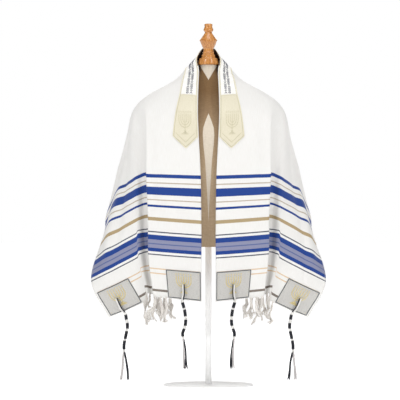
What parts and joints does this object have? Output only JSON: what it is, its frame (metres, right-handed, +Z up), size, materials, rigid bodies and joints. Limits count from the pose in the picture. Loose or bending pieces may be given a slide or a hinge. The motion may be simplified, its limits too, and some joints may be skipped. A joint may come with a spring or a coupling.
{
  "type": "tallit prayer shawl on a dress form",
  "caption": "Fringed prayer shawl with striped ends, neck band, satin corner patches and knotted corner cords, worn open on a limbless dress form with a short post stand.",
  "frame": {"origin": "middle of the stand's underside, on the surface it rests on", "axes": "+Z up; the shawl opens towards -Y; +X is the wearer's left"},
  "size_m": [0.7762, 0.3312, 1.206],
  "materials": {
    "shawl": "fine matt plain weave with blue, gold and lilac stripes",
    "band": "matt cotton with dark blue embroidery",
    "satin": "cream satin with gold embroidery",
    "patch": "silver-grey satin with a dark green-blue border",
    "fringe": "twisted off-white yarn",
    "cord": "white and near-black knotted wool cord",
    "form": "stretched cream linen over a hard shell",
    "wood": "turned, orange-brown satin lacquer",
    "stand": "white powder coat"
  },
  "bodies": {
    "root": {"shawl_cloth": "shawl", "atarah_neck_band": "band", "atarah_end_left": "satin", "atarah_end_right": "satin", "corner_patch_inner_left": "patch", "corner_patch_inner_right": "patch", "corner_patch_outer_left": "patch", "corner_patch_outer_right": "patch", "fringe_left": "fringe", "fringe_right": "fringe", "tzitzit_inner_left": "cord", "tzitzit_inner_right": "cord", "tzitzit_outer_left": "cord", "tzitzit_outer_right": "cord", "dress_form": "form", "neck_cap": "wood", "stand_base": "stand", "stand_post": "stand"}
  },
  "joints": []
}
